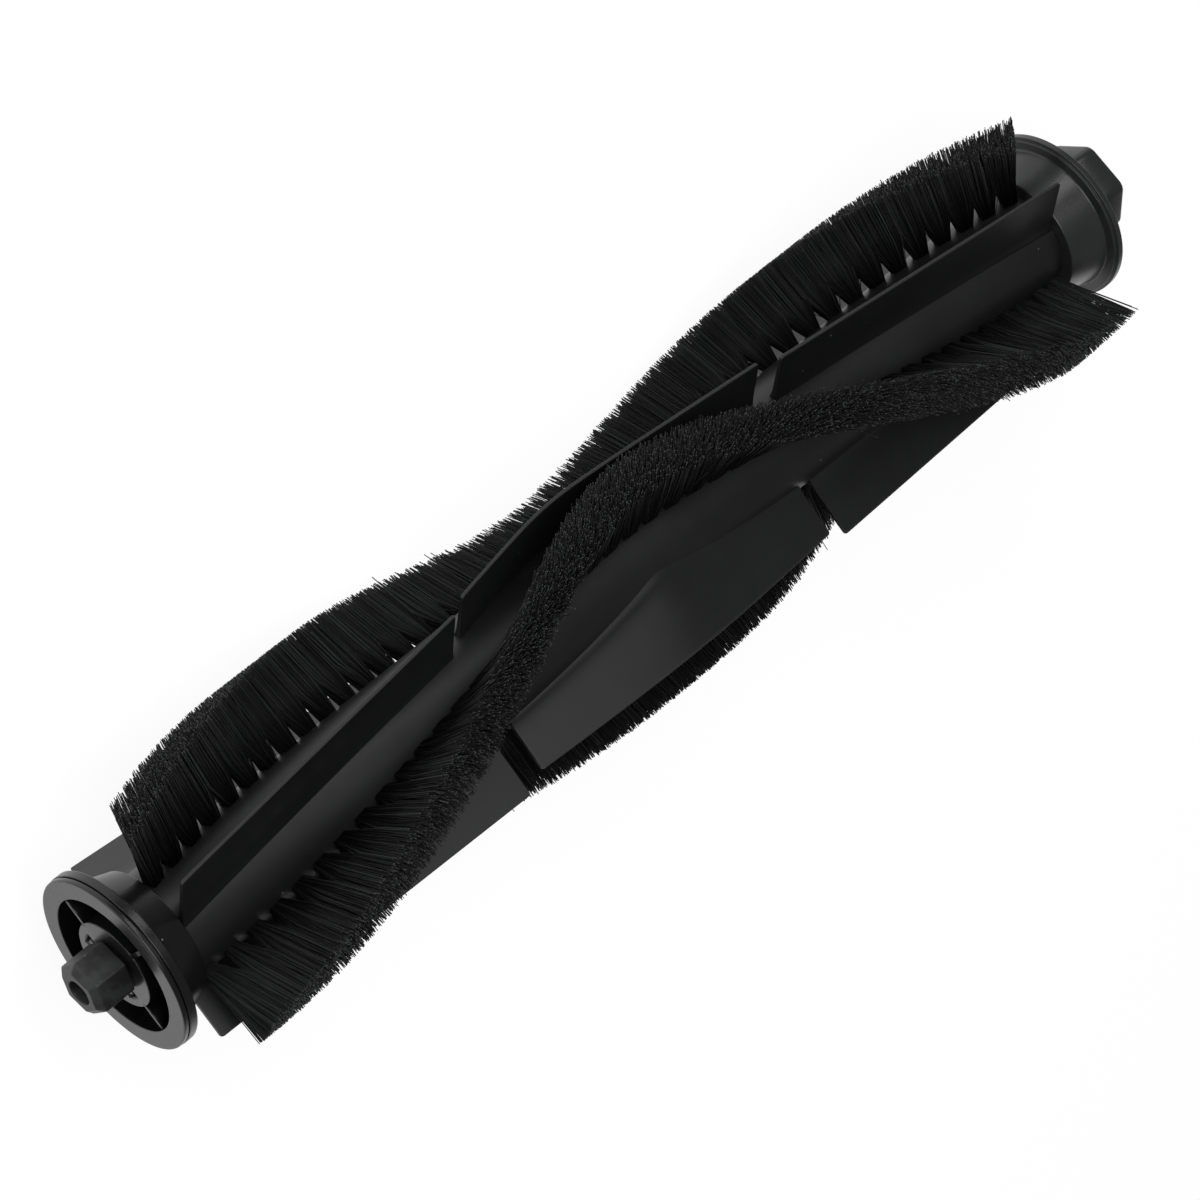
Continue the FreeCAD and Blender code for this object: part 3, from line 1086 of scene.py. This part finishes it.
@dataclass
class Studio:
    """Camera of the photograph, soft lamps placed by its picture, and a pale floor."""

    camera_place: Triple = (-328.933, 319.560, 511.400)
    camera_aim: Triple = (-7.705, -2.490, 1.556)
    picture_up: Triple = (0.0, 0.848048, -0.529919)
    roll: float = 0.676
    lens: float = 134.194
    sensor: float = 36.0
    clip: Pair = (0.05, 20.0)
    floor_size: float = 6.0
    floor_white: float = 0.86
    glow: float = 1.15
    lit_share: float = 0.8
    surrounding: float = 0.15
    lamps: tuple[Softbox, ...] = (
        Softbox("key_softbox", (0.28, 0.0, 1.0), distance=0.7, side=0.45, power=2.0),
        Softbox("end_softbox", (-0.75, 0.25, 0.6), distance=0.7, side=0.3, power=1.5),
        Softbox("top_softbox", (0.2, 0.6, 0.75), distance=0.9, side=0.3, power=1.1))

    def axes(self) -> tuple[Vector, Vector, Vector]:
        """Right, up and forward of the picture in the roller's frame."""
        forward = (Vector(self.camera_aim) - Vector(self.camera_place)).normalized()
        x = forward.cross(Vector(self.picture_up)).normalized()
        y = forward.cross(x)
        right = x * math.cos(self.roll) + y * math.sin(self.roll)
        down = y * math.cos(self.roll) - x * math.sin(self.roll)
        return right, -down, forward

    def camera(self) -> None:
        """Sets up the camera."""
        right, up, forward = self.axes()
        data = bpy.data.cameras.new("photo_camera")
        data.lens, data.sensor_width = self.lens, self.sensor
        data.clip_start, data.clip_end = self.clip
        camera = bpy.data.objects.new("photo_camera", data)
        turn = Matrix((right, up, -forward)).transposed().to_4x4()
        camera.matrix_world = Matrix.Translation(Vector(self.camera_place) * MM) @ turn
        bpy.context.scene.collection.objects.link(camera)
        bpy.context.scene.camera = camera

    def lamp(self, box: Softbox) -> None:
        """Adds a lamp that faces the roller."""
        right, up, forward = self.axes()
        way = (right * box.toward[0] + up * box.toward[1] - forward * box.toward[2]).normalized()
        data = bpy.data.lights.new(box.name, "AREA")
        data.shape, data.size, data.energy = "SQUARE", box.side, box.power
        lamp = bpy.data.objects.new(box.name, data)
        lamp.location = way * box.distance
        lamp.rotation_mode = "QUATERNION"
        lamp.rotation_quaternion = way.to_track_quat("Z", "Y")
        bpy.context.scene.collection.objects.link(lamp)

    def floor(self) -> None:
        """Lays the floor under the lowest point; the camera sees it nearly white, with a faint shadow."""
        half, level = self.floor_size / 2, CAD_BOX[0].z
        mesh = bpy.data.meshes.new("studio_floor")
        corners = [(-half, -half, level), (half, -half, level), (half, half, level), (-half, half, level)]
        mesh.from_pydata(corners, [], [(0, 1, 2, 3)])
        bench = NodeBench("studio_floor")
        path = bench.node("ShaderNodeLightPath")
        seen = Socket(bench, path.outputs["Is Camera Ray"])
        for ray in ("Is Glossy Ray", "Is Transmission Ray"):
            seen = bench.math("MAXIMUM", seen, Socket(bench, path.outputs[ray]))
        matt = bench.node("ShaderNodeBsdfDiffuse", None, {"Color": grey(self.floor_white)})
        glow = bench.node("ShaderNodeEmission", None, {"Color": grey(1.0), "Strength": self.glow})
        mixed = bench.node("ShaderNodeMixShader", None,
                           {0: seen * self.lit_share, 1: matt.outputs[0], 2: glow.outputs[0]})
        bench.tree.links.new(mixed.outputs[0], bench.output.inputs["Surface"])
        mesh.materials.append(bench.material)
        floor = bpy.data.objects.new("studio_floor", mesh)
        bpy.context.scene.collection.objects.link(floor)

    def world(self) -> None:
        """Even surrounding light."""
        world = bpy.data.worlds.new("studio_world")
        world.use_nodes = True
        backdrop = world.node_tree.nodes["Background"]
        backdrop.inputs["Color"].default_value = grey(1.0)
        backdrop.inputs["Strength"].default_value = self.surrounding
        bpy.context.scene.world = world

    def build(self) -> None:
        """Sets up camera, floor and light."""
        bpy.context.scene.view_settings.view_transform = "Standard"
        self.camera()
        self.floor()
        self.world()
        for box in self.lamps:
            self.lamp(box)


def main() -> None:
    """Builds every sub-assembly, dresses the CAD nodes that stay and lights the scene."""
    logging.basicConfig(level=logging.INFO, format="%(name)s: %(message)s")
    CoreTube().build(CORE_PLASTIC)
    EndCap(End.BEARING).build(CAP_PLASTIC)
    EndCap(End.DRIVE).build(DRIVE_CAP_LIT_PLASTIC)
    BearingBush().build(BUSH_PLASTIC)
    WiperFlaps().build(WiperRubber())
    BristleRows().build(NylonFilament())
    SteelParts().build()
    Studio().build()


if __name__ == "__main__":
    main()
